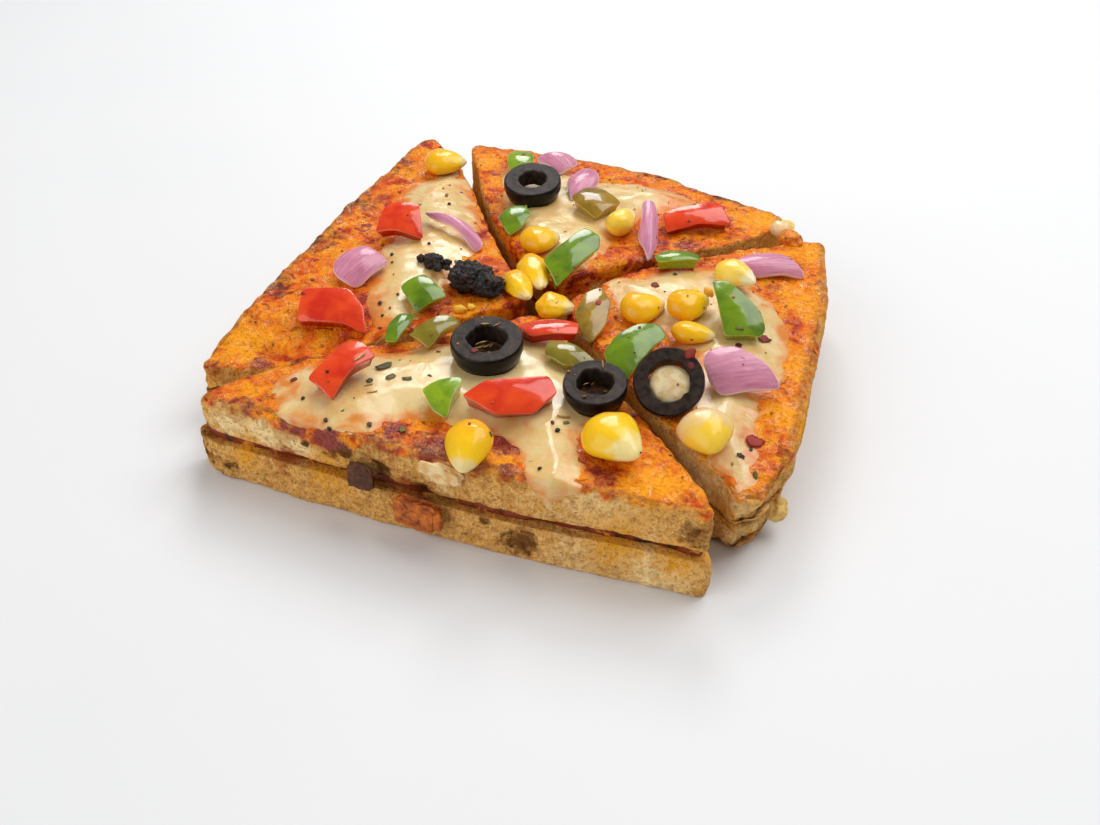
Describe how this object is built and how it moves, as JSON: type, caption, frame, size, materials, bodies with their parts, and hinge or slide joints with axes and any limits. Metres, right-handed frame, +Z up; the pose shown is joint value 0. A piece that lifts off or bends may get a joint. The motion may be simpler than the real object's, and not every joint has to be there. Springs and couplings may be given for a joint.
{
  "type": "pizza sandwich",
  "caption": "Toasted square sandwich cut corner to corner into quarters that lie together, topped with tomato sauce, melted cheese, black olives, capsicum, red onion and sweetcorn.",
  "frame": {"origin": "middle of the underside, where the lower slices rest", "axes": "+Z up; +X to the right and +Y away from the front crust, which faces -Y"},
  "size_m": [0.1358, 0.1448, 0.0331],
  "materials": {
    "toast": "dry toasted crust and open crumb",
    "sauced_toast": "toasted bread under a baked tomato sauce",
    "filling": "moist sauce and melted filling",
    "cheese": "melted cheese with a soft shine",
    "olive": "oily black olive",
    "charred": "dry charred olive",
    "corn": "moist sweetcorn",
    "green_capsicum": "roasted green capsicum, glossy skin",
    "red_capsicum": "roasted red capsicum, glossy skin",
    "onion": "softened red onion"
  },
  "bodies": {
    "root": {"lower_slice_front": "toast", "filling_front": "filling", "upper_slice_front": "sauced_toast", "cheese_front": "cheese", "lower_slice_right": "toast", "filling_right": "filling", "upper_slice_right": "sauced_toast", "cheese_right": "cheese", "lower_slice_back": "toast", "filling_back": "filling", "upper_slice_back": "sauced_toast", "cheese_back": "cheese", "lower_slice_left": "toast", "filling_left": "filling", "upper_slice_left": "sauced_toast", "cheese_left": "cheese", "corn_left_corner": "corn", "capsicum_back_corner": "green_capsicum", "onion_back_edge": "onion", "onion_back": "onion", "olive_back": "olive", "capsicum_red_back": "red_capsicum", "onion_upright": "onion", "corn_back": "corn", "capsicum_olive_toned": "green_capsicum", "capsicum_back_left": "green_capsicum", "corn_back_middle": "corn", "corn_centre_pair": "corn", "corn_centre_crinkled": "corn", "capsicum_centre_large": "green_capsicum", "onion_left_strip": "onion", "capsicum_red_left": "red_capsicum", "onion_left": "onion", "charred_olive": "charred", "capsicum_left_upper": "green_capsicum", "capsicum_red_left_corner": "red_capsicum", "capsicum_red_front_left": "red_capsicum", "capsicum_left_small": "green_capsicum", "capsicum_grey_green": "green_capsicum", "capsicum_red_middle": "red_capsicum", "capsicum_translucent": "green_capsicum", "capsicum_yellow_olive": "green_capsicum", "corn_right_inner": "corn", "corn_right_middle": "corn", "corn_right_outer": "corn", "capsicum_right_back": "green_capsicum", "corn_right_pale": "corn", "onion_right_back": "onion", "corn_right_corner": "corn", "capsicum_right_large": "green_capsicum", "capsicum_front_large": "green_capsicum", "onion_right": "onion", "capsicum_fibrous": "green_capsicum", "capsicum_red_front": "red_capsicum", "olive_left": "olive", "olive_middle": "olive", "olive_right": "olive", "corn_front_left": "corn", "corn_front_middle": "corn", "corn_front_right": "corn"}
  },
  "joints": []
}
